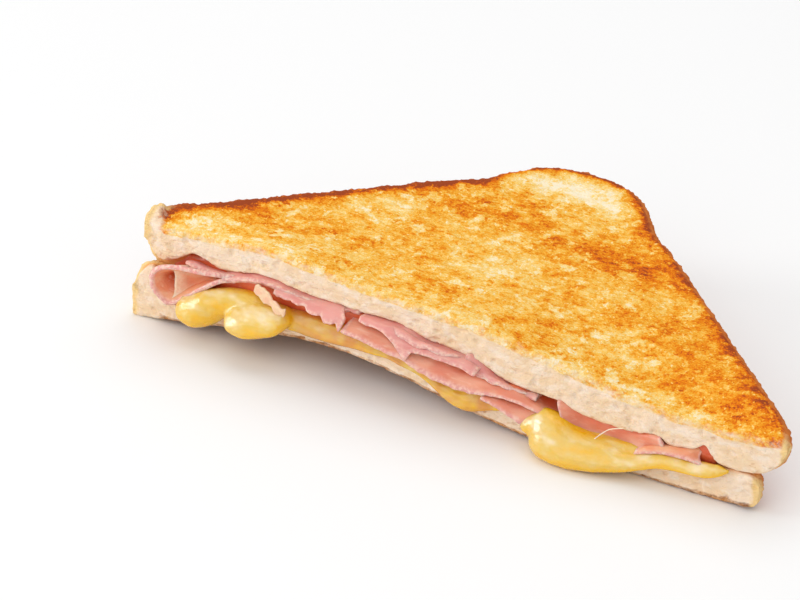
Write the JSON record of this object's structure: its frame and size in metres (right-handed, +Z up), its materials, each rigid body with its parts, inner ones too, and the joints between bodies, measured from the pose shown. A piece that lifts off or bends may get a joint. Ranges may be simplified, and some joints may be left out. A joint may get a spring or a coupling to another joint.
{
  "type": "toasted sandwich half",
  "caption": "Triangular half of a pressed ham and cheese toastie, with folded ham and melted cheese running out of the cut.",
  "frame": {"origin": "on the surface that the half lies on, under the middle of its box", "axes": "+X runs along the cut, from the end that stands up to the right end; +Y from the cut towards the square corner of the bread; +Z up"},
  "size_m": [0.1602, 0.0852, 0.0298],
  "materials": {
    "toasted_bread": "golden-orange toasted face with darker brown patches, buttery gloss, cream crumb at the cut",
    "pale_bread": "matt cream crumb with fine pores, thin brown crust and toasted underside",
    "ham": "moist pink, slightly translucent, pale speckled cut edges",
    "ham_fat": "moist pale fat, slightly translucent",
    "melted_cheese": "glossy melted cheese, warm yellow, translucent"
  },
  "bodies": {
    "root": {"bread_top": "toasted_bread", "bread_bottom": "pale_bread", "cheese": "melted_cheese", "ham_top": "ham", "ham_fold": "ham", "ham_flap": "ham", "ham_low": "ham", "ham_under": "ham", "ham_tab": "ham", "ham_loop": "ham", "ham_strip": "ham_fat"}
  },
  "joints": []
}
